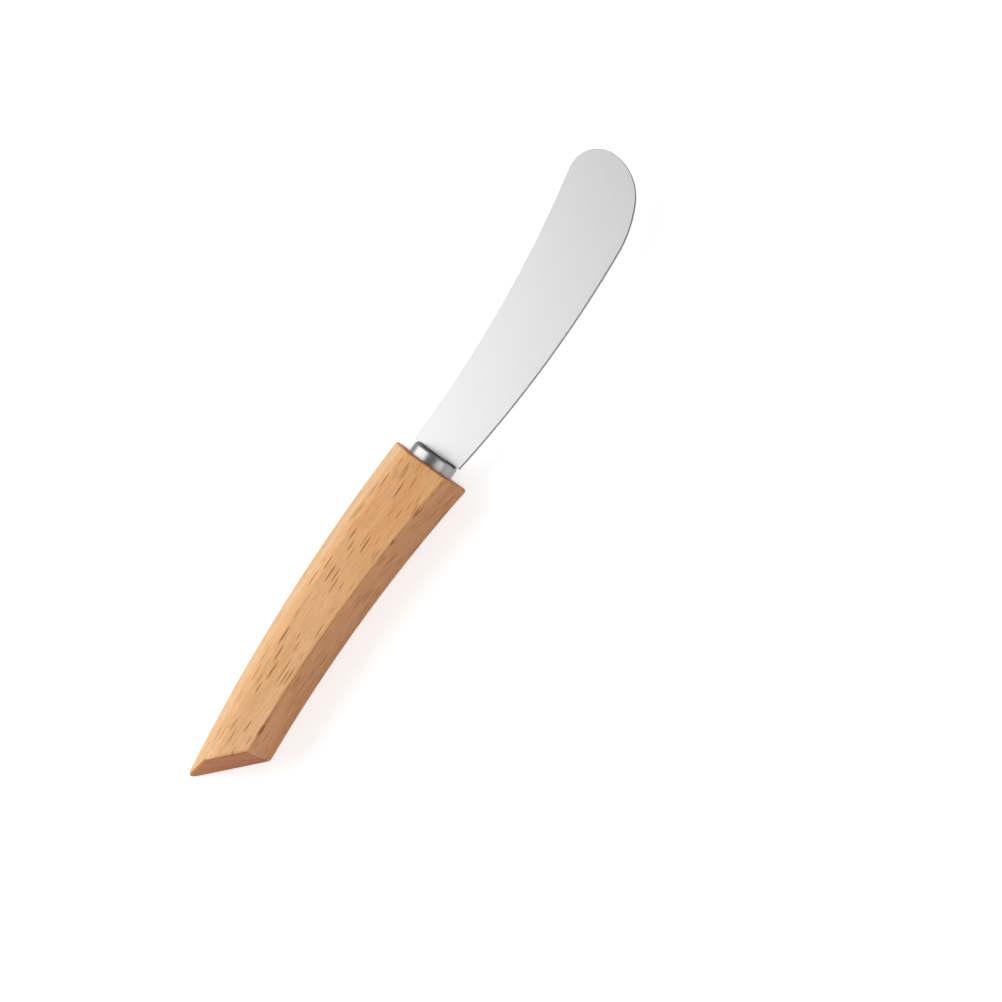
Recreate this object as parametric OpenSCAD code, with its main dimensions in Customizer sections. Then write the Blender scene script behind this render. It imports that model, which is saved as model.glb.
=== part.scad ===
// Butter knife: a curved stainless blade with a tang, a pressed steel ferrule, a beech handle with
// a slanted butt, and the adhesive that holds the tang.
// The knife lies on a flat side of its handle: tip towards +X, spine towards +Y, edge towards -Y.
// The origin is under the middle of the knife, on the face that it rests on.

/* [Handle] */
// Length of the handle, from its front end to the point of its butt
handle_len = 80.4; // [74:0.1:90]
// Thickness of the handle, between its two flat sides
handle_thick = 15.2; // [13:0.1:18]
// Height of the spine over the neck's axis, at the front end
spine_height = 11.3; // [10:0.1:13]
// Radius of the curve along the spine
spine_radius = 400; // [300:5:700]
// Distance from the front end back to the highest place of the spine
spine_crest = 55; // [40:0.5:62]
// Depth of the finger side under the neck's axis, at the front end
finger_depth = 7.4; // [6.8:0.1:9]
// Radius of the hollow curve along the finger side
finger_radius = 340; // [270:5:600]
// Distance from the front end back to the shallowest place of the finger side
finger_crest = 72; // [60:0.5:76]
// Slope of the spine's face, which falls from the back of the handle to its front, in degrees
spine_slope = 25; // [15:0.5:30]
// Radius of the spine's high edge, at the back
ridge_round = 0.9; // [0.4:0.1:1.5]
// Radius of the other long edges
edge_round = 0.6; // [0.3:0.1:1.2]
// Angle between the slanted butt and the long axis, in degrees
butt_angle = 49.5; // [42:0.5:65]
// Radius of the butt's point, seen from the back
butt_round = 0.9; // [0.4:0.1:1.5]

/* [Neck] */
// Slope of the neck's axis towards the edge side, in degrees
neck_slope = 5.2; // [3:0.1:7]
// Diameter of the ferrule
ferrule_dia = 10.4; // [9:0.1:11.5]
// Length of the ferrule that shows in front of the handle
ferrule_proud = 2.8; // [2:0.1:5]
// Length of the ferrule inside the handle
ferrule_sunk = 5; // [3:0.1:8]
// Thickness of the ferrule's skirt
ferrule_wall = 0.6; // [0.4:0.1:1]
// Thickness of the ferrule's front face
ferrule_face = 0.8; // [0.6:0.1:1.2]
// Radius of the ferrule's front shoulder
ferrule_round = 0.8; // [0.3:0.1:1]
// Gap between the tang and the ferrule's slot, all round
slot_gap = 0.1; // [0.05:0.05:0.3]

/* [Tang] */
// Width of the tang
tang_width = 5.2; // [4:0.1:5.4]
// Length of the tang inside the handle
tang_len = 37; // [20:0.5:38]
// Diameter of the hole for the tang
tang_bore_dia = 6; // [5.8:0.1:7]
// Depth of hole left past the end of the tang
tang_bore_spare = 2; // [0.5:0.1:3]

/* [Blade] */
// Reach of the tip from the front end of the handle
blade_reach = 74.6; // [70:0.1:82]
// Thickness of the blade and its tang
blade_thick = 0.9; // [0.8:0.1:1.4]
// Radius of the hollow curve along the back of the blade
back_radius = 255; // [200:5:500]
// Radius of the long curve along the edge
edge_radius = 250; // [200:5:500]
// Radius of the belly, where the edge turns up to the tip
belly_radius = 26; // [20:0.5:40]
// Radius of the tip
tip_radius = 11.5; // [9:0.1:12.5]
// Radius of the corner between the tip and the back
corner_radius = 6.3; // [4:0.1:8]
// Rise of the tip curve's centre over the neck's axis
tip_rise = 0.2; // [-1:0.1:1]
// Heading of the outline where the edge becomes the belly, in degrees
edge_heading = -0.4; // [-2:0.1:0.5]
// Heading where the belly becomes the tip
belly_heading = 23.5; // [16:0.5:32]
// Heading where the tip becomes the corner
tip_heading = 84.5; // [75:0.5:100]
// Heading where the corner becomes the back
corner_heading = 187.5; // [186:0.1:189]

/* [Hidden] */

// Number of straight steps in a full turn of the large and the small circles
large_fn = 720;
small_fn = 96;
// Number of straight steps along one curve of the blade's outline
curve_steps = 24;
// How far a cutting shape runs past what it cuts
overrun = 20;
// How far two shapes of one piece run into each other
overlap = 1;

half_thick = handle_thick / 2;
ferrule_r = ferrule_dia / 2;
tang_bore_r = tang_bore_dia / 2;

// Directions in the knife's plane: along the neck's axis, and square to it towards the spine
neck_ahead = [cos(neck_slope), -sin(neck_slope)];
neck_up = [sin(neck_slope), cos(neck_slope)];

// Centres of the handle's two long curves
spine_centre = [-spine_crest, spine_height - sqrt(pow(spine_radius, 2) - pow(spine_crest, 2))];
finger_centre = [-finger_crest, -finger_depth - sqrt(pow(finger_radius, 2) - pow(finger_crest, 2))];
// How far the sharp ridge would stand above the rounded one
ridge_lost = ridge_round * (tan(spine_slope) + 1 / cos(spine_slope) - 1);
// Centre of the butt's rounded point, which touches the spine's curve from inside
butt_centre = [
    butt_round - handle_len,
    spine_centre.y + sqrt(pow(spine_radius - butt_round, 2) - pow(handle_len - butt_round - spine_crest, 2))
];
butt_ahead = [cos(butt_angle), -sin(butt_angle)];
// Slope of the line that clears the wood over the butt's point, in degrees, and its direction
clear_slope = 30;
clear_ahead = [cos(clear_slope), sin(clear_slope)];
// Where that line meets the butt's plane, and where it meets the plane of the front end
butt_point = butt_centre - butt_round / sin((clear_slope + butt_angle) / 2)
    * [cos((clear_slope - butt_angle) / 2), sin((clear_slope - butt_angle) / 2)];
clear_end = neck_up * cross(butt_point, clear_ahead) / cross(neck_up, clear_ahead);

// The blade's outline is a chain of curves that touch; left() points to the centre of each
function left(heading) = [-sin(heading), cos(heading)];
tip_centre = [blade_reach - tip_radius, tip_rise];
belly_centre = tip_centre + (belly_radius - tip_radius) * left(belly_heading);
edge_centre = belly_centre + (edge_radius - belly_radius) * left(edge_heading);
corner_centre = tip_centre + (corner_radius - tip_radius) * left(tip_heading);
back_centre = corner_centre - (corner_radius + back_radius) * left(corner_heading);
// The blade's shoulder sits on the ferrule
shoulder = ferrule_proud * neck_ahead;
// Where a circle crosses the shoulder's line; of the two places, the one nearer the edge side
function on_shoulder(centre, radius) =
    let (away = shoulder - centre, along = away * neck_up)
    shoulder - neck_up * (sqrt(pow(along, 2) - away * away + pow(radius, 2)) + along);
heel = on_shoulder(edge_centre, edge_radius);
back_end = on_shoulder(back_centre, back_radius);
heel_heading = asin((heel.x - edge_centre.x) / edge_radius);
back_heading = 180 - asin((back_centre.x - back_end.x) / back_radius);

// Points along a curve between two headings, without its first point; a negative radius is hollow
function curve(centre, radius, from, to) =
    [for (i = [1 : curve_steps]) centre - radius * left(from + (to - from) * i / curve_steps)];

// The middle of the knife, seen from above
lowest_y = belly_centre.y - belly_radius;
highest_y = spine_centre.y + spine_radius;
middle = [(blade_reach - handle_len) / 2, (lowest_y + highest_y) / 2];

// Places its children in the knife's frame, from the frame of the handle's front end
module placed() {
    translate([-middle.x, -middle.y, half_thick]) children();
}

// Turns the Z axis of its children onto the neck's axis
module along_neck() {
    rotate([0, 0, -neck_slope]) rotate([0, 90, 0]) children();
}

// Convex polygon with a radius for each of its corners
module rounded(points, radii) {
    count = len(points);
    corners = [for (i = [0 : count - 1]) let (
        before = points[(i + count - 1) % count] - points[i],
        after = points[(i + 1) % count] - points[i],
        half = acos(before * after / norm(before) / norm(after)) / 2,
        inward = before / norm(before) + after / norm(after)
    ) [
        points[i] + before / norm(before) * radii[i] / tan(half),
        points[i] + after / norm(after) * radii[i] / tan(half),
        points[i] + inward / norm(inward) * radii[i] / sin(half)
    ]];
    polygon([for (corner = corners) each [corner[0], corner[1]]]);
    for (i = [0 : count - 1])
        if (radii[i] > 0)
            translate(corners[i][2]) circle(radii[i], $fn = small_fn);
}

// Ring around the spine's centre; its rim is the spine's sloping face
module spine_ring() {
    low = spine_radius - spine_height - finger_depth - overrun;
    ridge = spine_radius + ridge_lost;
    translate(spine_centre)
        rotate_extrude($fn = large_fn)
            rounded([
                [low, -half_thick],
                [ridge, -half_thick],
                [ridge - handle_thick * tan(spine_slope), half_thick],
                [low, half_thick]
            ], [0, ridge_round, edge_round, 0]);
}

// Ring around the finger side's centre; its hole is the hollow curve under the fingers
module finger_ring() {
    high = finger_radius + spine_height + finger_depth + overrun;
    translate(finger_centre)
        rotate_extrude($fn = large_fn)
            rounded([
                [finger_radius, -half_thick],
                [high, -half_thick],
                [high, half_thick],
                [finger_radius, half_thick]
            ], [edge_round, 0, 0, edge_round]);
}

// Block between the handle's front end and its slanted butt
module length_block() {
    translate([0, 0, -half_thick])
        linear_extrude(handle_thick)
            rounded([
                -overrun * neck_up,
                clear_end,
                butt_point,
                butt_point + (overrun + overrun) * butt_ahead
            ], [0, 0, butt_round, 0]);
}

module handle() {
    color("burlywood")
        placed()
            difference() {
                intersection() {
                    length_block();
                    spine_ring();
                    finger_ring();
                }
                along_neck() {
                    translate([0, 0, -ferrule_sunk])
                        cylinder(h = ferrule_sunk + overrun, r = ferrule_r, $fn = small_fn);
                    translate([0, 0, -tang_len - tang_bore_spare])
                        cylinder(h = tang_len + tang_bore_spare, r = tang_bore_r, $fn = small_fn);
                }
            }
}

module ferrule() {
    total = ferrule_sunk + ferrule_proud;
    color("silver")
        placed()
            along_neck()
                difference() {
                    translate([0, 0, -ferrule_sunk])
                        rotate_extrude($fn = small_fn)
                            intersection() {
                                rounded([
                                    [-ferrule_r, 0],
                                    [ferrule_r, 0],
                                    [ferrule_r, total],
                                    [-ferrule_r, total]
                                ], [0, 0, ferrule_round, ferrule_round]);
                                square([ferrule_r, total]);
                            }
                    translate([0, 0, -ferrule_sunk - overrun])
                        cylinder(h = overrun + total - ferrule_face, r = ferrule_r - ferrule_wall, $fn = small_fn);
                    tang_block(slot_gap, ferrule_proud + overrun);
                }
}

// Block along the neck's Z axis, as wide and thick as the tang and a gap, up to a height
module tang_block(gap, top) {
    translate([-blade_thick / 2 - gap, -tang_width / 2 - gap, -tang_len])
        cube([blade_thick + gap + gap, tang_width + gap + gap, tang_len + top]);
}

module adhesive() {
    color("khaki")
        placed()
            along_neck()
                difference() {
                    union() {
                        translate([0, 0, -ferrule_sunk])
                            cylinder(
                                h = ferrule_sunk + ferrule_proud - ferrule_face,
                                r = ferrule_r - ferrule_wall,
                                $fn = small_fn
                            );
                        translate([0, 0, -tang_len - tang_bore_spare])
                            cylinder(h = tang_len + tang_bore_spare, r = tang_bore_r, $fn = small_fn);
                    }
                    tang_block(0, overrun);
                }
}

module blade() {
    color("gainsboro")
        placed()
            translate([0, 0, -blade_thick / 2])
                linear_extrude(blade_thick)
                    union() {
                        polygon(concat(
                            [back_end, heel],
                            curve(edge_centre, edge_radius, heel_heading, edge_heading),
                            curve(belly_centre, belly_radius, edge_heading, belly_heading),
                            curve(tip_centre, tip_radius, belly_heading, tip_heading),
                            curve(corner_centre, corner_radius, tip_heading, corner_heading),
                            curve(back_centre, -back_radius, corner_heading, back_heading)
                        ));
                        rotate(-neck_slope)
                            translate([-tang_len, -tang_width / 2])
                                square([tang_len + ferrule_proud + overlap, tang_width]);
                    }
}

blade();
ferrule();
handle();
adhesive();
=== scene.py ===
"""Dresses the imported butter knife: beech handle, polished ferrule and satin blade, in a white studio."""

import math

import bmesh
import bpy
from bpy.props import FloatProperty, FloatVectorProperty, PointerProperty
from mathutils import Matrix, Vector


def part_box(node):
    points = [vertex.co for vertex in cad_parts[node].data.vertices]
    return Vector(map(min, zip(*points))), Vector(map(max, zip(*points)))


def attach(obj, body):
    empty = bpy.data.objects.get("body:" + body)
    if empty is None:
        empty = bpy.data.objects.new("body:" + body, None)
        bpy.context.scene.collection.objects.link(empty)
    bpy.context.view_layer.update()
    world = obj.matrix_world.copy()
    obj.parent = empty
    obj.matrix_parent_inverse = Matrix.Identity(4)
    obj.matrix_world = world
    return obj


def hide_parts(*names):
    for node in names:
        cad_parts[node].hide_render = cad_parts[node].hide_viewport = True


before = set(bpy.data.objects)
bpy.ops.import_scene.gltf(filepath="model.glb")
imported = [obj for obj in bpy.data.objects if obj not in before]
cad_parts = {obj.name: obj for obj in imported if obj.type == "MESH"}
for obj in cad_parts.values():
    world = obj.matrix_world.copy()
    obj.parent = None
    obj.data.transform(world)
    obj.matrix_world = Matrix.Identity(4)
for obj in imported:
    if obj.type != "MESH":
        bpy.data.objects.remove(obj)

bl_info = {
    "name": "Butter Knife",
    "version": (1, 0, 0),
    "blender": (4, 5, 0),
    "location": "3D View > Sidebar > Knife",
    "description": "Models a butter knife with a beech handle around its packed solids",
    "category": "Add Mesh",
}

MM = 0.001
HANDLE_LOW, HANDLE_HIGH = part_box("handle")
BLADE_LOW, BLADE_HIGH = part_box("blade")
FERRULE_LOW, FERRULE_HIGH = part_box("ferrule")

# Steps along the blade's and the handle's long curves, round the circles and across a rounded edge
BLADE_STEPS = 48
HANDLE_STEPS = 24
ROUND_STEPS = 96
EDGE_STEPS = 6
# Edge layer that holds how far a rounding reaches along its faces, as a share of the widest one
ROUNDING = "bevel_weight_edge"
WIDEST_ROUNDING = 4 * MM
# Two points nearer than this are one
MERGE = 0.002 * MM
# Slanted direction along which faces and edges are sorted
SORTED_ALONG = Vector((1.0, 0.31, 0.17))
# Cosine over which a face counts as looking in a direction
FACING = 0.99
# Faces that meet at more than this angle keep a sharp edge between them
SHARP_ANGLE = math.radians(38)
# The studio is a bowl: a round floor that curves up in steps to a wall, with its sizes in metres
FLOOR_RADIUS = 3.0
BOWL_STEPS = 6
BOWL_RISE = 0.3
WALL_HEIGHT = 3.0
# How much wider a level step of the curve would make the bowl
BOWL_GROWTH_SHARE = 0.1
# How many times nearer and farther than the knife the camera sees
CLIP_RATIO = 20


def length(name, description, default):
    """A length property whose default is given in millimetres."""
    return FloatProperty(
        name=name, description=description, default=default * MM, precision=5, unit="LENGTH"
    )


def angle(name, description, default):
    """An angle property whose default is given in degrees."""
    return FloatProperty(
        name=name, description=description, default=math.radians(default), subtype="ANGLE"
    )


def watts(name, description, default):
    """A power property, in watts."""
    return FloatProperty(name=name, description=description, default=default, min=0, unit="POWER")


def colour(name, description, default):
    """A colour property, in linear red, green and blue."""
    return FloatVectorProperty(
        name=name, description=description, default=(*default, 1), subtype="COLOR", size=4, min=0, max=1
    )


class KnifeHandleSettings(bpy.types.PropertyGroup):
    """Shape and wood of the handle."""

    total: length("Length", "From the front end to the point of the butt", 80.4)
    spine_height: length("Spine height", "From the neck's axis up to the spine, at the front end", 11.3)
    spine_radius: length("Spine radius", "Radius of the curve along the spine", 400)
    spine_crest: length("Spine crest", "From the front end back to the spine's highest place", 55)
    finger_depth: length("Finger depth", "From the neck's axis down to the finger side", 7.4)
    finger_radius: length("Finger radius", "Radius of the hollow curve along the finger side", 340)
    finger_crest: length("Finger crest", "From the front end back to where the side is shallowest", 72)
    spine_slope: angle("Spine slope", "Slope of the spine's face, from the back down to the front", 25)
    ridge_round: length("Ridge radius", "Radius of the spine's high edge, at the back", 0.9)
    eave_round: length("Eave radius", "Radius of the edge between the spine's face and the front", 3)
    edge_round: length("Edge radius", "Radius of the two long edges of the finger side", 0.6)
    end_round: length("End radius", "Radius of the edges round the front end", 0.6)
    front_band: length("Front band", "Width of the flat band inside the front end's rim", 1.1)
    butt_round: length("Butt radius", "Radius of the edges round the slanted butt", 0.9)
    butt_angle: angle("Butt angle", "Between the slanted butt and the long axis", 49.5)
    pale_wood: colour("Pale wood", "Beech between its bands", (0.92, 0.55, 0.29))
    deep_wood: colour("Deep wood", "Beech in its bands", (0.84, 0.465, 0.21))
    fleck_wood: colour("Flecks", "Rays that show as short dark lines", (0.38, 0.14, 0.05))
    grain_tilt: angle("Grain tilt", "Between the grain and the long axis", -3.5)


class KnifeNeckSettings(bpy.types.PropertyGroup):
    """Shape and steel of the ferrule."""

    slope: angle("Slope", "Slope of the neck's axis towards the edge side", 5.2)
    proud: length("Proud", "Length of the ferrule in front of the handle", 2.8)
    sunk: length("Sunk", "Length of the ferrule inside the handle", 5)
    wall: length("Wall", "Thickness of the ferrule's skirt", 0.6)
    face: length("Face", "Thickness of the ferrule's front face", 0.8)
    shoulder_round: length("Shoulder radius", "Radius of the ferrule's front shoulder", 0.8)
    slot_gap: length("Slot gap", "Gap between the tang and the ferrule's slot", 0.1)
    steel: colour("Steel", "Polished steel of the ferrule", (0.31, 0.305, 0.3))


class KnifeBladeSettings(bpy.types.PropertyGroup):
    """Shape and steel of the blade."""

    tang_width: length("Tang width", "Width of the tang", 5.2)
    tang_total: length("Tang length", "Length of the tang inside the handle", 37)
    bore_radius: length("Bore radius", "Radius of the hole for the tang", 3)
    bore_spare: length("Bore spare", "Depth of hole past the end of the tang", 2)
    back_radius: length("Back radius", "Radius of the hollow curve along the back", 255)
    edge_radius: length("Edge radius", "Radius of the long curve along the edge", 250)
    belly_radius: length("Belly radius", "Radius where the edge turns up to the tip", 26)
    tip_radius: length("Tip radius", "Radius of the tip", 11.5)
    corner_radius: length("Corner radius", "Radius between the tip and the back", 6.3)
    tip_rise: length("Tip rise", "Height of the tip curve's centre over the neck's axis", 0.2)
    edge_heading: angle("Edge heading", "Heading of the outline where the edge becomes the belly", -0.4)
    belly_heading: angle("Belly heading", "Heading where the belly becomes the tip", 23.5)
    tip_heading: angle("Tip heading", "Heading where the tip becomes the corner", 84.5)
    corner_heading: angle("Corner heading", "Heading where the corner becomes the back", 187.5)
    rim_round: length("Rim width", "Width of the broken edge round the blade", 0.14)
    steel: colour("Steel", "Satin steel of the blade's sides", (0.58, 0.58, 0.58))
    # The rim's dark colour is a painted dark reflection along the blade's outline
    painted_dark_rim_steel: colour("Rim steel", "Blanked steel round the blade's outline", (0.2, 0.2, 0.205))


class KnifeStageSettings(bpy.types.PropertyGroup):
    """View and light."""

    roll: angle("Roll", "How far the camera leans over to the edge side", 18.5)
    turn: angle("Turn", "Between the knife's long axis and the picture's lower side", 60)
    width: length("Frame width", "Width of the view at the knife", 206.3)
    distance: length("Distance", "From the camera to the knife", 1900)
    aim_ahead: length("Aim ahead", "The view's middle, in front of the handle's end", 0.99)
    aim_across: length("Aim across", "The view's middle, off the neck's axis", -16.38)
    floor: colour("Floor", "Colour of the floor and the wall", (0.86, 0.86, 0.86))
    floor_gap: length("Floor gap", "Hair's breadth of air between the handle and the floor", 0.03)
    floor_glow: FloatProperty(
        name="Floor glow", description="How much white the floor shows on its own", default=0.58,
        min=0, max=1, subtype="FACTOR",
    )
    ambient: colour("Ambient", "Light from all sides", (0.35, 0.35, 0.35))
    lamp_distance: length("Lamp distance", "From the lamps to the knife", 620)
    key_power: watts("Key power", "Power of the lamp over the spine side", 4.9)
    key_lean: angle("Key lean", "From straight up to the key lamp, towards the spine side", 54.5)
    key_size: length("Key size", "Size of the key lamp across the knife", 900)
    key_reach: length("Key reach", "Size of the key lamp along the knife", 520)
    lamps_behind: length("Lamps behind", "From the middle of the knife back to the lamps' middle", 170)
    fill_power: watts("Fill power", "Power of the lamp on the edge side", 0.82)
    fill_lean: angle("Fill lean", "From straight up to the fill lamp, towards the edge side", 54)
    fill_size: length("Fill size", "Size of the fill lamp across the knife", 470)
    fill_reach: length("Fill reach", "Size of the fill lamp along the knife", 400)


def to_left(heading):
    """The direction square to a heading, on its left."""
    return Vector((-math.sin(heading), math.cos(heading), 0))


def crossing(centre, radius, point, direction):
    """Where a line through a point crosses a circle, at the place nearer to the point."""
    away = point - centre
    along = away.dot(direction)
    reach = math.sqrt(along**2 - away.length_squared + radius**2)
    return point + direction * min(reach - along, -reach - along, key=abs)


def angle_between(centre, start, end):
    """The turn about a centre that brings start to the bearing of end."""
    return -(start - centre).xy.angle_signed((end - centre).xy, 0)


def next_centre(centre, radius, next_radius, heading):
    """The centre of the curve that another runs into at a heading; a hollow one has a negative radius."""
    return centre + (next_radius - radius) * to_left(heading)


class Shape:
    """The lines that the handle, the neck and the blade share, in the frame of the handle's front end."""

    def __init__(self, scene):
        handle, neck, blade = scene.knife_handle, scene.knife_neck, scene.knife_blade
        self.half_thick = (HANDLE_HIGH.z - HANDLE_LOW.z) / 2
        self.blade_thick = BLADE_HIGH.z - BLADE_LOW.z
        self.ferrule_radius = (FERRULE_HIGH.z - FERRULE_LOW.z) / 2
        self.ahead = Vector((math.cos(neck.slope), -math.sin(neck.slope), 0))
        self.up = Vector((math.sin(neck.slope), math.cos(neck.slope), 0))

        spine_drop = math.sqrt(handle.spine_radius**2 - handle.spine_crest**2)
        self.spine_centre = Vector((-handle.spine_crest, handle.spine_height - spine_drop, 0))
        finger_drop = math.sqrt(handle.finger_radius**2 - handle.finger_crest**2)
        self.finger_centre = Vector((-handle.finger_crest, -handle.finger_depth - finger_drop, 0))
        # The butt's plane touches its rounded point, which touches the spine's curve from inside
        point_behind = handle.total - handle.butt_round - handle.spine_crest
        point_reach = math.sqrt((handle.spine_radius - handle.butt_round) ** 2 - point_behind**2)
        self.butt_ahead = Vector((math.cos(handle.butt_angle), -math.sin(handle.butt_angle), 0))
        self.butt_out = Vector((-math.sin(handle.butt_angle), -math.cos(handle.butt_angle), 0))
        point_centre = Vector((handle.butt_round - handle.total, self.spine_centre.y + point_reach, 0))
        self.butt_place = point_centre + self.butt_out * handle.butt_round
        # The sharp ridge and its eave, placed so that the rounded ridge comes to the spine's radius
        ridge_reach = handle.ridge_round / math.tan((math.pi / 2 - handle.spine_slope) / 2)
        ridge_lean = math.sin(handle.spine_slope)
        ridge_spare = ridge_reach * (1 + ridge_lean - math.hypot(1, ridge_lean))
        self.ridge_radius = handle.spine_radius + ridge_spare
        self.eave_radius = self.ridge_radius - 2 * self.half_thick * math.tan(handle.spine_slope)

        self.shoulder = self.ahead * neck.proud
        reach = BLADE_HIGH.x - HANDLE_LOW.x - handle.total
        self.tip_centre = Vector((reach - blade.tip_radius, blade.tip_rise, 0))
        self.belly_centre = next_centre(
            self.tip_centre, blade.tip_radius, blade.belly_radius, blade.belly_heading
        )
        self.edge_centre = next_centre(
            self.belly_centre, blade.belly_radius, blade.edge_radius, blade.edge_heading
        )
        self.corner_centre = next_centre(
            self.tip_centre, blade.tip_radius, blade.corner_radius, blade.tip_heading
        )
        self.back_centre = next_centre(
            self.corner_centre, blade.corner_radius, -blade.back_radius, blade.corner_heading
        )

        # The first takes these lines to the knife's place, the second turns Z to the neck's axis
        top = self.spine_centre.y + handle.spine_radius
        front_end = Vector((HANDLE_LOW.x + handle.total, HANDLE_HIGH.y - top, self.half_thick))
        self.knife = Matrix.Translation(front_end)
        self.neck = Matrix.Rotation(-neck.slope, 4, "Z") @ Matrix.Rotation(math.radians(90), 4, "Y")


def only(kind, geometry):
    """The items of one kind in what an operator returns."""
    return [item for item in geometry if isinstance(item, kind)]


def edges_at(vertices):
    """The edges at some vertices, each once and always in the same order."""
    return list(dict.fromkeys(edge for vertex in vertices for edge in vertex.link_edges))


def spin_line(bm, vertex, centre, turn, steps):
    """Draws a vertex round a centre and returns the edges that it leaves and its last copy."""
    before = set(bm.edges)
    made = bmesh.ops.spin(
        bm, geom=[vertex], cent=centre, axis=(0, 0, 1), dvec=(0, 0, 0), angle=turn, steps=steps,
        use_merge=False, use_normal_flip=False, use_duplicate=False,
    )
    last = only(bmesh.types.BMVert, made["geom_last"])[0]
    return [edge for edge in bm.edges if edge not in before], last


def round_edges(bm, edges, width, steps, by="OFFSET"):
    """Rounds edges; width is how far the rounding reaches along each face, or its own width."""
    return bmesh.ops.bevel(
        bm, geom=edges, offset=width, offset_type=by, segments=steps, profile=0.5, affect="EDGES",
        material=-1, clamp_overlap=False, loop_slide=True,
    )["faces"]


def mark_rounding(bm, edges, radius):
    """Notes the radius that the Bevel modifier gives to each edge, whatever angle its faces meet at."""
    layer = bm.edges.layers.float[ROUNDING]
    for edge in edges:
        opening = math.pi - edge.calc_face_angle()
        edge[layer] = radius / math.tan(opening / 2) / WIDEST_ROUNDING


def draw_out(bm, edges, matrix):
    """Extrudes a loop of edges, places the new loop by a matrix and returns its edges."""
    made = bmesh.ops.extrude_edge_only(bm, edges=edges)["geom"]
    new = set(only(bmesh.types.BMVert, made))
    bmesh.ops.transform(bm, matrix=matrix, verts=list(new))
    return [edge for edge in only(bmesh.types.BMEdge, made) if set(edge.verts) <= new]


def circle(bm, radius, matrix):
    """A loop of edges round the Z axis of a matrix."""
    made = bmesh.ops.create_circle(bm, cap_ends=False, segments=ROUND_STEPS, radius=radius, matrix=matrix)
    return edges_at(made["verts"])


def fill_between(bm, edges, direction):
    """Fills the flat room between loops of edges."""
    bmesh.ops.triangle_fill(bm, use_beauty=True, use_dissolve=False, edges=edges, normal=direction)


def end_face(bm, direction):
    """The largest face that looks in a direction."""
    facing = [face for face in bm.faces if face.normal.dot(direction) > FACING]
    return max(facing, key=lambda face: face.calc_area())


def finish_piece(name, bm, matrix, materials, node):
    """Makes a piece of the knife from a bmesh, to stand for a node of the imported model."""
    bmesh.ops.remove_doubles(bm, verts=bm.verts, dist=MERGE)
    bmesh.ops.recalc_face_normals(bm, faces=bm.faces)
    bmesh.ops.transform(bm, matrix=matrix, verts=bm.verts)
    open_edges = [edge for edge in bm.edges if not edge.is_manifold]
    if open_edges:
        raise RuntimeError(f"{name} has {len(open_edges)} open edges")
    for face in bm.faces:
        face.smooth = True
    # Operators leave faces and edges in an order that changes from run to run, so they are sorted
    bm.faces.sort(key=lambda face: face.calc_center_median().dot(SORTED_ALONG))
    bm.edges.sort(key=lambda edge: (edge.verts[0].co + edge.verts[1].co).dot(SORTED_ALONG))
    layer = bm.edges.layers.float.get(ROUNDING)
    for edge in bm.edges:
        rounded = layer is not None and edge[layer] > 0
        edge.smooth = rounded or edge.calc_face_angle(0) < SHARP_ANGLE
    mesh = bpy.data.meshes.new(name)
    bm.to_mesh(mesh)
    bm.free()
    for material in materials:
        mesh.materials.append(material)
    piece = bpy.data.objects.new(name, mesh)
    bpy.context.scene.collection.objects.link(piece)
    if ROUNDING in mesh.attributes:
        rounding = piece.modifiers.new("Rounded edges", "BEVEL")
        rounding.limit_method = "WEIGHT"
        rounding.offset_type = "OFFSET"
        rounding.width = WIDEST_ROUNDING
        rounding.segments = EDGE_STEPS
        rounding.profile = 0.5
        rounding.use_clamp_overlap = False
    even = piece.modifiers.new("Even normals", "WEIGHTED_NORMAL")
    even.keep_sharp = True
    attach(piece, "root")
    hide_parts(node)
    return piece


def add_node(tree, kind, inputs=None, **settings):
    """Adds a node; inputs maps a socket's name or number to a value or to the socket that feeds it."""
    node = tree.nodes.new(kind)
    for name, value in settings.items():
        setattr(node, name, value)
    for key, value in (inputs or {}).items():
        if isinstance(value, bpy.types.NodeSocket):
            tree.links.new(value, node.inputs[key])
        else:
            node.inputs[key].default_value = value
    return node


def maths(tree, operation, first, second=0.0, clamp=False):
    """The result of a Math node."""
    node = add_node(
        tree, "ShaderNodeMath", {0: first, 1: second}, operation=operation, use_clamp=clamp
    )
    return node.outputs[0]


def vector_maths(tree, operation, first, second):
    """The result of a Vector Math node."""
    return add_node(tree, "ShaderNodeVectorMath", {0: first, 1: second}, operation=operation).outputs[0]


def ramp(tree, value, low, high, start=0.0, end=1.0):
    """A value eased from start to end as the input goes from low to high."""
    inputs = {"Value": value, "From Min": low, "From Max": high, "To Min": start, "To Max": end}
    node = add_node(tree, "ShaderNodeMapRange", inputs, interpolation_type="SMOOTHSTEP")
    return node.outputs["Result"]


def blend(tree, factor, first, second, mode="MIX"):
    """The colour between two colours."""
    # A Mix node has sockets for each type of data, and these are the numbers of its colour ones
    factor_in, first_in, second_in, result_out = 0, 6, 7, 2
    inputs = {factor_in: factor, first_in: first, second_in: second}
    node = add_node(tree, "ShaderNodeMix", inputs, data_type="RGBA", blend_type=mode)
    return node.outputs[result_out]


def tinted(tree, factor, colour_socket, tint):
    """A colour, multiplied by a tint as far as the factor says."""
    return blend(tree, factor, colour_socket, (*tint, 1), "MULTIPLY")


def dimmed(tree, colour_socket, level):
    """A colour, made darker or lighter by a level."""
    grey = add_node(tree, "ShaderNodeCombineColor", {"Red": level, "Green": level, "Blue": level})
    return blend(tree, 1.0, colour_socket, grey.outputs["Color"], "MULTIPLY")


def stretched(tree, vector, sizes):
    """Coordinates counted in cells of these sizes, in millimetres."""
    scale = tuple(1 / (size * MM) for size in sizes)
    return add_node(tree, "ShaderNodeMapping", {"Vector": vector, "Scale": scale}).outputs["Vector"]


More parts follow.
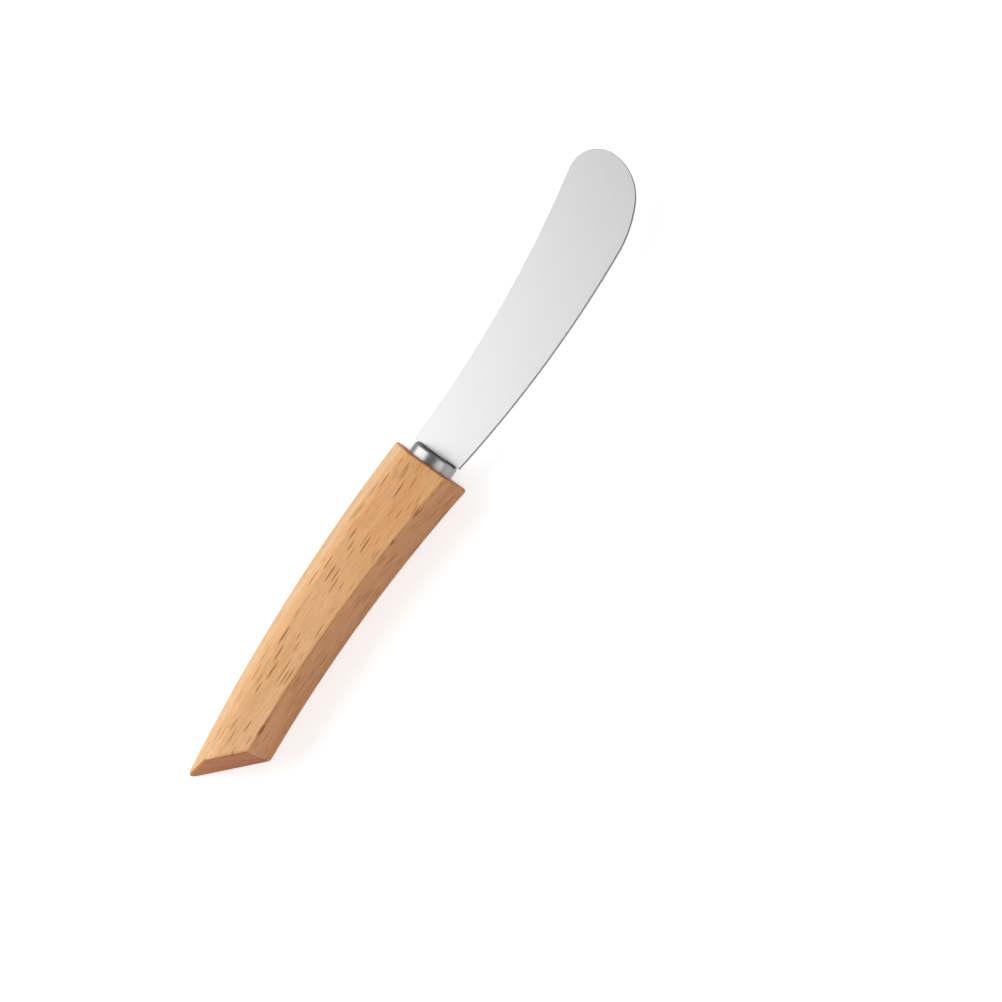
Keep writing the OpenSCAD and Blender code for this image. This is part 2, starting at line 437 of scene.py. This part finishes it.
def noise(tree, vector, detail, roughness):
    """Soft noise from 0 to 1."""
    inputs = {"Vector": vector, "Scale": 1.0, "Detail": detail, "Roughness": roughness}
    return add_node(tree, "ShaderNodeTexNoise", inputs).outputs["Fac"]


def new_group(name, inputs, outputs):
    """An empty shader node group, with its input and output nodes."""
    tree = bpy.data.node_groups.new(name, "ShaderNodeTree")
    for label, kind, default in inputs:
        socket = tree.interface.new_socket(label, in_out="INPUT", socket_type=kind)
        if default is not None:
            socket.default_value = default
    for label, kind in outputs:
        tree.interface.new_socket(label, in_out="OUTPUT", socket_type=kind)
    return tree, tree.nodes.new("NodeGroupInput"), tree.nodes.new("NodeGroupOutput")


def dashes(tree, vector, cell, kept_share, reach_share):
    """Dashes in scattered cells: how strongly each point lies on one, from 0 to 1."""
    # A share of the cells holds a dash, and the longest one reaches a share of a cell from its middle
    shortest_share = 0.45
    solid_share = 0.5
    faintest = 0.6
    cells = {"Vector": stretched(tree, vector, (*cell, 1)), "Scale": 1.0}
    voronoi = add_node(tree, "ShaderNodeTexVoronoi", cells, voronoi_dimensions="2D")
    chance = add_node(tree, "ShaderNodeSeparateColor", {"Color": voronoi.outputs["Color"]})
    present = maths(tree, "LESS_THAN", chance.outputs["Red"], kept_share)
    shortest = reach_share * shortest_share
    reach = ramp(tree, chance.outputs["Green"], 0.0, 1.0, start=shortest, end=reach_share)
    near = maths(tree, "DIVIDE", voronoi.outputs["Distance"], reach)
    strength = ramp(tree, chance.outputs["Blue"], 0.0, 1.0, start=faintest, end=1.0)
    line = maths(tree, "MULTIPLY", ramp(tree, near, solid_share, 1.0, start=1.0, end=0.0), strength)
    return maths(tree, "MULTIPLY", line, present)


def beech_grain():
    """The grain of beech, cut through a block: bands, fibres, and rays that show as dark flecks."""
    colours = [(label, "NodeSocketColor", (0.5, 0.5, 0.5, 1)) for label in ("Pale", "Deep", "Fleck")]
    tree, given, out = new_group(
        "beech_grain",
        [("Vector", "NodeSocketVector", None), *colours, ("Fleck Strength", "NodeSocketFloat", 1.0)],
        [("Color", "NodeSocketColor"), ("Roughness", "NodeSocketFloat"), ("Height", "NodeSocketFloat")],
    )
    vector = given.outputs["Vector"]
    # Cells in millimetres, along the grain and across it, and how far the grain sways off its line
    sway_cell = (30, 9, 9)
    sway_reach = (0, 1.6 * MM, 1.6 * MM)
    band_cell = (46, 3.4, 5)
    fibre_cell = (5, 0.22, 0.22)
    ray_cell, rays_kept_share, ray_reach_share = (12, 0.74), 0.95, 0.24
    pore_cell, pores_kept_share, pore_reach_share = (2.6, 0.24), 0.6, 0.3
    # Where the noise turns from pale to deep wood, and from pale to dark fibres, with their levels
    band_turn = (0.32, 0.7)
    fibre_turn, fibre_levels = (0.25, 0.75), (1.03, 0.84)
    pore_strength = 0.3
    smoothest, fibre_roughness, ray_roughness = 0.46, 0.16, 0.12
    fibre_height, ray_depth, pore_depth = 0.35, 0.7, 0.3

    inputs = {"Vector": stretched(tree, vector, sway_cell), "Scale": 1.0, "Detail": 1.0}
    drift = add_node(tree, "ShaderNodeTexNoise", inputs).outputs["Color"]
    centred = vector_maths(tree, "SUBTRACT", drift, (0.5, 0.5, 0.5))
    sway = vector_maths(tree, "MULTIPLY", centred, sway_reach)
    place = vector_maths(tree, "ADD", vector, sway)

    bands = noise(tree, stretched(tree, place, band_cell), detail=3.0, roughness=0.55)
    fibres = noise(tree, stretched(tree, place, fibre_cell), detail=2.0, roughness=0.6)
    rays = dashes(tree, place, ray_cell, rays_kept_share, ray_reach_share)
    pores = dashes(tree, place, pore_cell, pores_kept_share, pore_reach_share)

    banded = blend(tree, ramp(tree, bands, *band_turn), given.outputs["Pale"], given.outputs["Deep"])
    wood = dimmed(tree, banded, ramp(tree, fibres, *fibre_turn, *fibre_levels))
    pored = blend(tree, maths(tree, "MULTIPLY", pores, pore_strength), wood, given.outputs["Fleck"])
    flecks = maths(tree, "MULTIPLY", rays, given.outputs["Fleck Strength"], clamp=True)
    tree.links.new(blend(tree, flecks, pored, given.outputs["Fleck"]), out.inputs["Color"])

    rough_fibres = maths(tree, "MULTIPLY", fibres, fibre_roughness)
    rough = maths(tree, "ADD", rough_fibres, maths(tree, "MULTIPLY", rays, ray_roughness))
    tree.links.new(maths(tree, "ADD", rough, smoothest), out.inputs["Roughness"])
    sunk_rays = maths(tree, "MULTIPLY", rays, ray_depth)
    sunk = maths(tree, "ADD", sunk_rays, maths(tree, "MULTIPLY", pores, pore_depth))
    raised = maths(tree, "SUBTRACT", maths(tree, "MULTIPLY", fibres, fibre_height), sunk)
    tree.links.new(raised, out.inputs["Height"])
    return tree


def steel_lines():
    """Fine lines left by grinding, and the smears of use."""
    tree, given, out = new_group(
        "steel_lines",
        [
            ("Vector", "NodeSocketVector", None),
            ("Color", "NodeSocketColor", (0.6, 0.6, 0.6, 1)),
            ("Contrast", "NodeSocketFloat", 0.1),
            ("Base Roughness", "NodeSocketFloat", 0.3),
            ("Roughness Spread", "NodeSocketFloat", 0.1),
        ],
        [("Color", "NodeSocketColor"), ("Roughness", "NodeSocketFloat"), ("Height", "NodeSocketFloat")],
    )
    vector = given.outputs["Vector"]
    # Cells in millimetres, and how much of the finish is lines, the rest being smears
    line_cell, smear_cell = (9, 0.09, 0.09), (14, 9, 9)
    line_share = 0.6
    lines = noise(tree, stretched(tree, vector, line_cell), detail=3.0, roughness=0.6)
    smears = noise(tree, stretched(tree, vector, smear_cell), detail=2.0, roughness=0.5)
    some_lines = maths(tree, "MULTIPLY", lines, line_share)
    mixed = maths(tree, "ADD", some_lines, maths(tree, "MULTIPLY", smears, 1 - line_share))
    shift = maths(tree, "SUBTRACT", mixed, 0.5)
    bright = maths(tree, "ADD", maths(tree, "MULTIPLY", shift, given.outputs["Contrast"]), 1.0)
    tree.links.new(dimmed(tree, given.outputs["Color"], bright), out.inputs["Color"])
    spread = maths(tree, "MULTIPLY", shift, given.outputs["Roughness Spread"])
    tree.links.new(maths(tree, "ADD", spread, given.outputs["Base Roughness"]), out.inputs["Roughness"])
    tree.links.new(lines, out.inputs["Height"])
    return tree


def shared_group(name, make):
    """A node group, built the first time that it is asked for."""
    return bpy.data.node_groups.get(name) or make()


def new_material(name, metallic, shine):
    """A new material, with its Texture Coordinate node and its Principled shader."""
    material = bpy.data.materials.new(name)
    material.use_nodes = True
    shader = next(node for node in material.node_tree.nodes if node.type == "BSDF_PRINCIPLED")
    shader.inputs["Metallic"].default_value = metallic
    shader.inputs["Specular IOR Level"].default_value = shine
    where = material.node_tree.nodes.new("ShaderNodeTexCoord")
    return material, where, shader


def feed(tree, shader, colour_socket, made, bump_height, bump_strength):
    """Joins a finish's colour, roughness and height to a shader."""
    inputs = {"Height": made.outputs["Height"], "Distance": bump_height, "Strength": bump_strength}
    bump = add_node(tree, "ShaderNodeBump", inputs)
    tree.links.new(colour_socket, shader.inputs["Base Color"])
    tree.links.new(made.outputs["Roughness"], shader.inputs["Roughness"])
    tree.links.new(bump.outputs["Normal"], shader.inputs["Normal"])


def beech(settings):
    """The handle's wood, redder towards the ferrule, paler on the spine side as painted sheen, darker and
    redder on the finger side as painted shade, and darker where its ends are cut, for the end grain and
    partly as painted shade.
    """
    ring_lean = math.radians(-38)
    fleck_strength = 0.9
    bump_height, bump_strength = 0.04 * MM, 0.6
    red_tint = (0.93, 0.84, 0.72)
    # Painted sheen: the spine side is made paler, as if lit more strongly
    painted_sheen_tint = (0.84, 0.92, 0.95)
    # Painted shade: the finger side is made darker and redder
    painted_shade_tint = (0.93, 0.8, 0.76)
    # The cut ends are darker for their end grain, and partly as painted shade
    end_grain_and_shade_tint = (0.7, 0.45, 0.26)
    # A face takes its tint as the part of its normal along an axis goes from the first to the second
    to_front, to_side, to_end = (0.45, 0.95), (0.3, 0.8), (0.45, 0.73)
    # How red the front's middle is, and the share of the length, at the ferrule, that is fully red
    middle_red = 0.67
    full_red_share = 1 / 6

    material, where, shader = new_material("beech", metallic=0.0, shine=0.15)
    tree = material.node_tree
    turned = {"Vector": where.outputs["Object"], "Rotation": (ring_lean, 0, settings.grain_tilt)}
    along = add_node(tree, "ShaderNodeMapping", turned, vector_type="TEXTURE")
    values = {
        "Vector": along.outputs["Vector"],
        "Pale": settings.pale_wood,
        "Deep": settings.deep_wood,
        "Fleck": settings.fleck_wood,
        "Fleck Strength": fleck_strength,
    }
    grain = add_node(
        tree, "ShaderNodeGroup", values, node_tree=shared_group("beech_grain", beech_grain)
    )
    place = add_node(tree, "ShaderNodeSeparateXYZ", {"Vector": where.outputs["Object"]})
    facing = add_node(tree, "ShaderNodeSeparateXYZ", {"Vector": where.outputs["Normal"]})
    # The front reddens towards the ferrule, and the other faces are as red as its middle all along
    reddest = HANDLE_HIGH.x - settings.total * full_red_share
    redder = ramp(tree, place.outputs["X"], HANDLE_LOW.x, reddest)
    off_middle = maths(tree, "SUBTRACT", redder, middle_red)
    on_front = maths(tree, "MULTIPLY", off_middle, ramp(tree, facing.outputs["Z"], *to_front))
    wood = tinted(tree, maths(tree, "ADD", on_front, middle_red), grain.outputs["Color"], red_tint)
    # Painted sheen: faces towards the spine side are made paler
    wood = tinted(tree, ramp(tree, facing.outputs["Y"], *to_side), wood, painted_sheen_tint)
    # Painted shade: faces towards the finger side are made darker and redder
    finger_side = maths(tree, "MULTIPLY", facing.outputs["Y"], -1.0)
    wood = tinted(tree, ramp(tree, finger_side, *to_side), wood, painted_shade_tint)
    # Cut ends darkened for their end grain, and partly as painted shade
    end = maths(tree, "ABSOLUTE", facing.outputs["X"])
    wood = tinted(tree, ramp(tree, end, *to_end), wood, end_grain_and_shade_tint)
    feed(tree, shader, wood, grain, bump_height, bump_strength)
    return material


def steel(name, colour_value, contrast, roughness, spread, bump_strength, painted_tip_reflection_level=1.0, painted_spine_reflection_level=1.0):
    """A steel finish with fine lines, with painted dark reflections that dim it to a level where it faces
    the tip and to another where it faces the spine side.
    """
    bump_height = 0.01 * MM
    # A face is dimmed by painted dark reflections as the part of its normal along the axis goes from the
    # first to the second
    to_tip, to_spine = (0.2, 0.75), (0.42, 0.7)

    material, where, shader = new_material(name, metallic=1.0, shine=0.5)
    tree = material.node_tree
    values = {
        "Vector": where.outputs["Object"],
        "Color": colour_value,
        "Contrast": contrast,
        "Base Roughness": roughness,
        "Roughness Spread": spread,
    }
    lines = add_node(
        tree, "ShaderNodeGroup", values, node_tree=shared_group("steel_lines", steel_lines)
    )
    facing = add_node(tree, "ShaderNodeSeparateXYZ", {"Vector": where.outputs["Normal"]})
    # Painted dark reflection where the steel faces the tip
    front = ramp(tree, facing.outputs["X"], *to_tip, start=1.0, end=painted_tip_reflection_level)
    # Painted dark reflection where the steel faces the spine side
    spine = ramp(tree, facing.outputs["Y"], *to_spine, start=1.0, end=painted_spine_reflection_level)
    shaded = dimmed(tree, lines.outputs["Color"], maths(tree, "MULTIPLY", front, spine))
    feed(tree, shader, shaded, lines, bump_height, bump_strength)
    return material


class KNIFE_OT_build_handle(bpy.types.Operator):
    """Model the beech handle, bored for the ferrule and the tang"""

    bl_idname = "knife.build_handle"
    bl_label = "Build Handle"

    def execute(self, context):
        scene = context.scene
        settings, neck, blade = scene.knife_handle, scene.knife_neck, scene.knife_blade
        shape = Shape(scene)
        bm = bmesh.new()
        bm.edges.layers.float.new(ROUNDING)
        half = shape.half_thick
        # The four long edges, each drawn round the centre of its curve and joined to the next
        corners = (
            (shape.finger_centre, settings.finger_radius, -half),
            (shape.spine_centre, shape.ridge_radius, -half),
            (shape.spine_centre, shape.eave_radius, half),
            (shape.finger_centre, settings.finger_radius, half),
        )
        lines = []
        for centre, radius, height in corners:
            start = crossing(centre, radius, Vector(), shape.up)
            end = crossing(centre, radius, shape.butt_place, shape.butt_ahead)
            vertex = bm.verts.new(start + Vector((0, 0, height)))
            turn = angle_between(centre, start, end)
            lines.append(spin_line(bm, vertex, centre, turn, HANDLE_STEPS)[0])
        for line, following in zip(lines, lines[1:] + lines[:1]):
            bmesh.ops.bridge_loops(bm, edges=line + following)
        bmesh.ops.holes_fill(bm, edges=bm.edges, sides=0)
        bmesh.ops.recalc_face_normals(bm, faces=bm.faces)

        # A band round the front end takes its rounding, and the mouth for the ferrule lies inside it
        front = end_face(bm, shape.ahead)
        bmesh.ops.inset_region(bm, faces=[front], thickness=settings.front_band, use_even_offset=True)
        front = end_face(bm, shape.ahead)
        in_front = {face for face in bm.faces if face.normal.dot(shape.ahead) > FACING}
        front_rim = [edge for edge in bm.edges if len(in_front.intersection(edge.link_faces)) == 1]
        mark_rounding(bm, lines[1], settings.ridge_round)
        mark_rounding(bm, lines[2], settings.eave_round)
        mark_rounding(bm, lines[0] + lines[3], settings.edge_round)
        mark_rounding(bm, front_rim, settings.end_round)
        mark_rounding(bm, end_face(bm, shape.butt_out).edges, settings.butt_round)

        # The seat for the ferrule, and behind it the narrower hole for the tang
        rim = list(front.edges)
        bmesh.ops.delete(bm, geom=[front], context="FACES_ONLY")
        mouth = circle(bm, shape.ferrule_radius, shape.neck)
        fill_between(bm, rim + mouth, shape.ahead)
        sink = Matrix.Translation(shape.ahead * -neck.sunk)
        seat = draw_out(bm, mouth, sink)
        at_seat = sink @ shape.neck
        narrower = blade.bore_radius / shape.ferrule_radius
        narrow = Matrix.Diagonal((narrower, narrower, 1, 1))
        bore = draw_out(bm, seat, at_seat @ narrow @ at_seat.inverted())
        depth = blade.tang_total + blade.bore_spare - neck.sunk
        bottom = draw_out(bm, bore, Matrix.Translation(shape.ahead * -depth))
        fill_between(bm, bottom, shape.ahead)
        piece = finish_piece("beech_handle", bm, shape.knife, [beech(settings)], "handle")
        return {"FINISHED"}


class KNIFE_OT_build_ferrule(bpy.types.Operator):
    """Model the pressed ferrule, with its round shoulder and the slot for the tang"""

    bl_idname = "knife.build_ferrule"
    bl_label = "Build Ferrule"

    def execute(self, context):
        scene = context.scene
        neck, blade, shape = scene.knife_neck, scene.knife_blade, Shape(scene)
        bm = bmesh.new()
        radius = shape.ferrule_radius
        foot = circle(bm, radius, Matrix.Translation((0, 0, -neck.sunk)))
        outside = draw_out(bm, foot, Matrix.Translation((0, 0, neck.sunk + neck.proud)))
        bmesh.ops.holes_fill(bm, edges=outside, sides=0)
        round_edges(bm, outside, neck.shoulder_round, 2 * EDGE_STEPS)
        front = end_face(bm, Vector((0, 0, 1)))
        rim = list(front.edges)
        bmesh.ops.delete(bm, geom=[front], context="FACES_ONLY")

        # The slot for the tang goes through the front face
        slot_sizes = (shape.blade_thick + 2 * neck.slot_gap, blade.tang_width + 2 * neck.slot_gap, 1, 1)
        at_face = Matrix.Translation((0, 0, neck.proud))
        plate = bmesh.ops.create_grid(
            bm, x_segments=1, y_segments=1, size=0.5, matrix=at_face @ Matrix.Diagonal(slot_sizes)
        )
        slot = edges_at(plate["verts"])
        bmesh.ops.delete(bm, geom=[plate["verts"][0].link_faces[0]], context="FACES_ONLY")
        fill_between(bm, rim + slot, Vector((0, 0, 1)))
        back = draw_out(bm, slot, Matrix.Translation((0, 0, -neck.face)))

        # The hollow behind the face is open at the foot
        inner = radius - neck.wall
        ceiling = circle(bm, inner, Matrix.Translation((0, 0, neck.proud - neck.face)))
        fill_between(bm, back + ceiling, Vector((0, 0, -1)))
        inner_foot = draw_out(bm, ceiling, Matrix.Translation((0, 0, neck.face - neck.proud - neck.sunk)))
        foot = [edge for edge in bm.edges if edge.is_boundary and edge not in inner_foot]
        bmesh.ops.bridge_loops(bm, edges=foot + inner_foot)
        # The ferrule's front shoulder is darkened and its spine side dimmed, as painted dark reflections
        material = steel(
            "ferrule_steel", neck.steel, contrast=0.1, roughness=0.3, spread=0.08, bump_strength=0.15,
            painted_tip_reflection_level=0.15, painted_spine_reflection_level=0.45,
        )
        piece = finish_piece("polished_ferrule", bm, shape.knife @ shape.neck, [material], "ferrule")
        return {"FINISHED"}


class KNIFE_OT_build_blade(bpy.types.Operator):
    """Model the blade and its tang, with a broken edge round the outline"""

    bl_idname = "knife.build_blade"
    bl_label = "Build Blade"

    def execute(self, context):
        scene = context.scene
        neck, settings, shape = scene.knife_neck, scene.knife_blade, Shape(scene)
        bm = bmesh.new()
        heel = crossing(shape.edge_centre, settings.edge_radius, shape.shoulder, shape.up)
        back_end = crossing(shape.back_centre, settings.back_radius, shape.shoulder, shape.up)
        heel_heading = math.asin((heel.x - shape.edge_centre.x) / settings.edge_radius)
        back_lean = math.asin((shape.back_centre.x - back_end.x) / settings.back_radius)
        # The outline runs from the heel along the edge, round the tip and along the back to the tang
        curves = (
            (shape.edge_centre, settings.edge_heading - heel_heading),
            (shape.belly_centre, settings.belly_heading - settings.edge_heading),
            (shape.tip_centre, settings.tip_heading - settings.belly_heading),
            (shape.corner_centre, settings.corner_heading - settings.tip_heading),
            (shape.back_centre, math.pi - back_lean - settings.corner_heading),
        )
        bottom = Vector((0, 0, -shape.blade_thick / 2))
        first = last = bm.verts.new(heel + bottom)
        for centre, turn in curves:
            last = spin_line(bm, last, centre + bottom, turn, BLADE_STEPS)[1]
        half_tang = shape.up * (settings.tang_width / 2)
        tang_end = shape.ahead * -settings.tang_total
        root = shape.shoulder
        for corner in (root + half_tang, tang_end + half_tang, tang_end - half_tang, root - half_tang):
            following = bm.verts.new(corner + bottom)
            bm.edges.new((last, following))
            last = following
        bm.edges.new((last, first))
        outline = bmesh.ops.contextual_create(bm, geom=bm.edges)["faces"]
        raised = bmesh.ops.extrude_face_region(bm, geom=outline)["geom"]
        raised = only(bmesh.types.BMVert, raised)
        bmesh.ops.translate(bm, vec=(0, 0, shape.blade_thick), verts=raised)
        bmesh.ops.recalc_face_normals(bm, faces=bm.faces)
        sides = [face for face in bm.faces if abs(face.normal.z) > FACING]
        for face in bm.faces:
            face.material_index = 0 if face in sides else 1
        rim = [edge for face in sides for edge in face.edges]
        for face in round_edges(bm, rim, settings.rim_round, EDGE_STEPS // 2, "WIDTH"):
            face.material_index = 1
        # The second material's dark colour is a painted dark reflection round the rim; its higher roughness
        # stands for the duller blanked edge
        materials = [
            steel(
                "blade_steel", settings.steel, contrast=0.08, roughness=0.36, spread=0.1, bump_strength=0.12
            ),
            steel(
                "painted_dark_rim_steel", settings.painted_dark_rim_steel, contrast=0.2, roughness=0.42, spread=0.1, bump_strength=0.2
            ),
        ]
        piece = finish_piece("satin_blade", bm, shape.knife, materials, "blade")
        return {"FINISHED"}


class KNIFE_OT_finish_adhesive(bpy.types.Operator):
    """Give the adhesive round the tang its resin"""

    bl_idname = "knife.finish_adhesive"
    bl_label = "Finish Adhesive"

    def execute(self, context):
        # A cell in millimetres, where the noise turns from clear to cloudy, and the roughness of each
        cloud_cell = (2, 2, 2)
        colour_turn, rough_turn = (0.3, 0.7), (0.2, 0.8)
        clear_resin, cloudy_resin = (0.62, 0.55, 0.36, 1), (0.5, 0.42, 0.24, 1)
        roughnesses = (0.3, 0.5)
        material, where, shader = new_material("resin", metallic=0.0, shine=0.5)
        tree = material.node_tree
        cells = stretched(tree, where.outputs["Object"], cloud_cell)
        clouds = noise(tree, cells, detail=3.0, roughness=0.6)
        resin = blend(tree, ramp(tree, clouds, *colour_turn), clear_resin, cloudy_resin)
        tree.links.new(resin, shader.inputs["Base Color"])
        tree.links.new(ramp(tree, clouds, *rough_turn, *roughnesses), shader.inputs["Roughness"])
        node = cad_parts["adhesive"]
        node.data.materials.clear()
        node.data.materials.append(material)
        return {"FINISHED"}


def studio_white(settings):
    """The floor and the wall: pale, and white to the camera and in reflections, apart from shadows."""
    material = bpy.data.materials.new("studio_white")
    material.use_nodes = True
    tree = material.node_tree
    tree.nodes.clear()
    rays = tree.nodes.new("ShaderNodeLightPath")
    seen = maths(tree, "MAXIMUM", rays.outputs["Is Camera Ray"], rays.outputs["Is Glossy Ray"])
    seen = maths(tree, "MAXIMUM", seen, rays.outputs["Is Transmission Ray"])
    glow = maths(tree, "MULTIPLY", seen, settings.floor_glow)
    lit = add_node(tree, "ShaderNodeBsdfDiffuse", {"Color": settings.floor})
    own = add_node(tree, "ShaderNodeEmission", {"Strength": glow})
    both = add_node(tree, "ShaderNodeAddShader", {0: lit.outputs[0], 1: own.outputs[0]})
    out = tree.nodes.new("ShaderNodeOutputMaterial")
    tree.links.new(both.outputs[0], out.inputs["Surface"])
    return material


def soft_lamp(name, power, reach, size, lean, target, distance):
    """A soft lamp at a distance from a point, which it looks at, leaning over to the spine side."""
    light = bpy.data.lights.new(name, "AREA")
    light.energy = power
    light.shape = "RECTANGLE"
    light.size = reach
    light.size_y = size
    lamp = bpy.data.objects.new(name, light)
    leaning = Matrix.Translation(target) @ Matrix.Rotation(-lean, 4, "X")
    lamp.matrix_world = leaning @ Matrix.Translation((0, 0, distance))
    lamp.visible_camera = False
    bpy.context.scene.collection.objects.link(lamp)


class KNIFE_OT_set_stage(bpy.types.Operator):
    """Set up the floor, the lamps and the camera"""

    bl_idname = "knife.set_stage"
    bl_label = "Set Stage"

    def execute(self, context):
        scene = context.scene
        settings, shape = scene.knife_stage, Shape(scene)
        # The floor, and the curve and the wall round it
        bm = bmesh.new()
        edge = circle(bm, FLOOR_RADIUS, Matrix.Translation((0, 0, -settings.floor_gap)))
        bmesh.ops.holes_fill(bm, edges=edge, sides=0)
        for step in range(BOWL_STEPS):
            steepness = math.radians(90) * (step + 0.5) / BOWL_STEPS
            rise = Matrix.Translation((0, 0, BOWL_RISE * math.sin(steepness)))
            grow = 1 + BOWL_GROWTH_SHARE * math.cos(steepness)
            edge = draw_out(bm, edge, rise @ Matrix.Diagonal((grow, grow, 1, 1)))
        draw_out(bm, edge, Matrix.Translation((0, 0, WALL_HEIGHT)))
        for face in bm.faces:
            face.smooth = True
        mesh = bpy.data.meshes.new("studio")
        bm.to_mesh(mesh)
        bm.free()
        mesh.materials.append(studio_white(settings))
        studio = bpy.data.objects.new("studio", mesh)
        scene.collection.objects.link(studio)

        # The lamps and the light from all sides
        lit_place = Vector((-settings.lamps_behind, 0, shape.half_thick))
        lamps = (
            ("key", settings.key_power, settings.key_reach, settings.key_size, settings.key_lean),
            ("fill", settings.fill_power, settings.fill_reach, settings.fill_size, -settings.fill_lean),
        )
        for lamp in lamps:
            soft_lamp(*lamp, lit_place, settings.lamp_distance)
        world = bpy.data.worlds.new("studio")
        world.use_nodes = True
        world.node_tree.nodes["Background"].inputs["Color"].default_value = settings.ambient
        scene.world = world

        # The camera looks down on the knife, rolled about its length and turned in the picture
        across = Vector((0, math.cos(settings.roll), math.sin(settings.roll)))
        towards = Vector((0, -math.sin(settings.roll), math.cos(settings.roll)))
        right = Vector((1, 0, 0)) * math.cos(settings.turn) - across * math.sin(settings.turn)
        up = Vector((1, 0, 0)) * math.sin(settings.turn) + across * math.cos(settings.turn)
        front_end = shape.knife.translation
        aim = front_end + Vector((settings.aim_ahead, 0, 0)) + across * settings.aim_across
        lens = bpy.data.cameras.new("camera")
        lens.lens = lens.sensor_width * settings.distance / settings.width
        lens.clip_start = settings.distance / CLIP_RATIO
        lens.clip_end = settings.distance * CLIP_RATIO
        camera = bpy.data.objects.new("camera", lens)
        turned = Matrix((right, up, towards)).transposed().to_4x4()
        camera.matrix_world = Matrix.Translation(aim + towards * settings.distance) @ turned
        scene.collection.objects.link(camera)
        scene.camera = camera
        scene.view_settings.view_transform = "Standard"
        return {"FINISHED"}


class KNIFE_PT_panel(bpy.types.Panel):
    """The knife's operators, in the order that builds it"""

    bl_label = "Butter Knife"
    bl_space_type = "VIEW_3D"
    bl_region_type = "UI"
    bl_category = "Knife"

    def draw(self, context):
        for operator in OPERATORS:
            self.layout.operator(operator.bl_idname)


OPERATORS = (
    KNIFE_OT_set_stage,
    KNIFE_OT_build_handle,
    KNIFE_OT_build_ferrule,
    KNIFE_OT_build_blade,
    KNIFE_OT_finish_adhesive,
)
SETTINGS = {
    "knife_handle": KnifeHandleSettings,
    "knife_neck": KnifeNeckSettings,
    "knife_blade": KnifeBladeSettings,
    "knife_stage": KnifeStageSettings,
}
CLASSES = (*SETTINGS.values(), *OPERATORS, KNIFE_PT_panel)


def register():
    """Adds the settings, the operators and the panel to Blender."""
    for cls in CLASSES:
        bpy.utils.register_class(cls)
    for name, cls in SETTINGS.items():
        setattr(bpy.types.Scene, name, PointerProperty(type=cls))


def unregister():
    """Takes them away again."""
    for name in SETTINGS:
        delattr(bpy.types.Scene, name)
    for cls in reversed(CLASSES):
        bpy.utils.unregister_class(cls)


def main():
    """Builds the knife in its studio."""
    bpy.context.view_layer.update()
    register()
    bpy.ops.knife.set_stage()
    bpy.ops.knife.build_handle()
    bpy.ops.knife.build_ferrule()
    bpy.ops.knife.build_blade()
    bpy.ops.knife.finish_adhesive()


if __name__ == "__main__":
    main()
